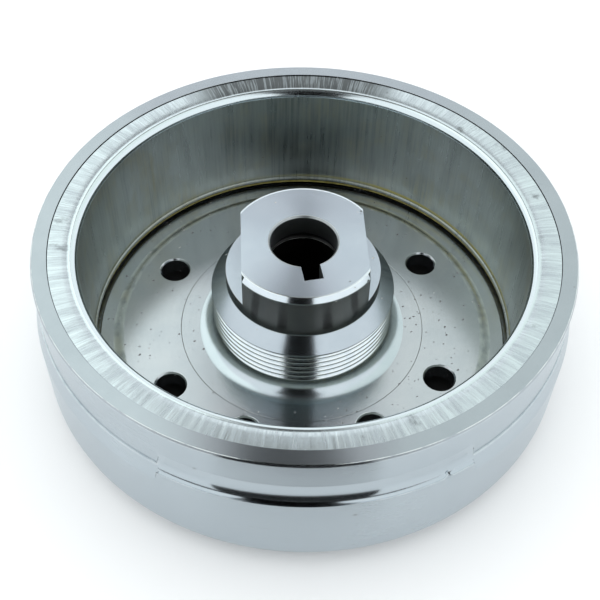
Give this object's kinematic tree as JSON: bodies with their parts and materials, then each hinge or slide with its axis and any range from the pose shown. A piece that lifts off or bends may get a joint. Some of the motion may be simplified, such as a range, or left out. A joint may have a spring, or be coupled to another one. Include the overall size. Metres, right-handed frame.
{
  "type": "flywheel",
  "caption": "Open steel cup flywheel with magnets behind a thin sleeve, a raised trigger lobe, and a threaded central boss with flats, keyway and tapered bore.",
  "frame": {"origin": "on the shaft axis, at the height of the boss's underside, which the part stands on", "axes": "+Z along the shaft axis, out of the open magnet side; the trigger lobe is centred on -Y; the wrench flats face +X and -X"},
  "size_m": [0.1148, 0.1148, 0.036],
  "materials": {
    "cup_steel": "turned and ground bright steel",
    "boss_steel": "turned bright steel",
    "sleeve_steel": "drawn thin stainless sheet",
    "magnet_ferrite": "ground dark ferrite",
    "black_plastic": "moulded",
    "resin": "cured olive resin"
  },
  "bodies": {
    "root": {"rotor_cup": "cup_steel", "boss": "boss_steel", "magnet_sleeve": "sleeve_steel", "magnet_seat_ring": "black_plastic", "resin_bead": "resin", "magnet_01": "magnet_ferrite", "magnet_02": "magnet_ferrite", "magnet_03": "magnet_ferrite", "magnet_04": "magnet_ferrite", "magnet_05": "magnet_ferrite", "magnet_06": "magnet_ferrite", "magnet_07": "magnet_ferrite", "magnet_08": "magnet_ferrite", "magnet_09": "magnet_ferrite", "magnet_10": "magnet_ferrite", "magnet_11": "magnet_ferrite", "magnet_12": "magnet_ferrite", "magnet_spacer_01": "black_plastic", "magnet_spacer_02": "black_plastic", "magnet_spacer_03": "black_plastic", "magnet_spacer_04": "black_plastic", "magnet_spacer_05": "black_plastic", "magnet_spacer_06": "black_plastic", "magnet_spacer_07": "black_plastic", "magnet_spacer_08": "black_plastic", "magnet_spacer_09": "black_plastic", "magnet_spacer_10": "black_plastic", "magnet_spacer_11": "black_plastic", "magnet_spacer_12": "black_plastic"}
  },
  "joints": []
}
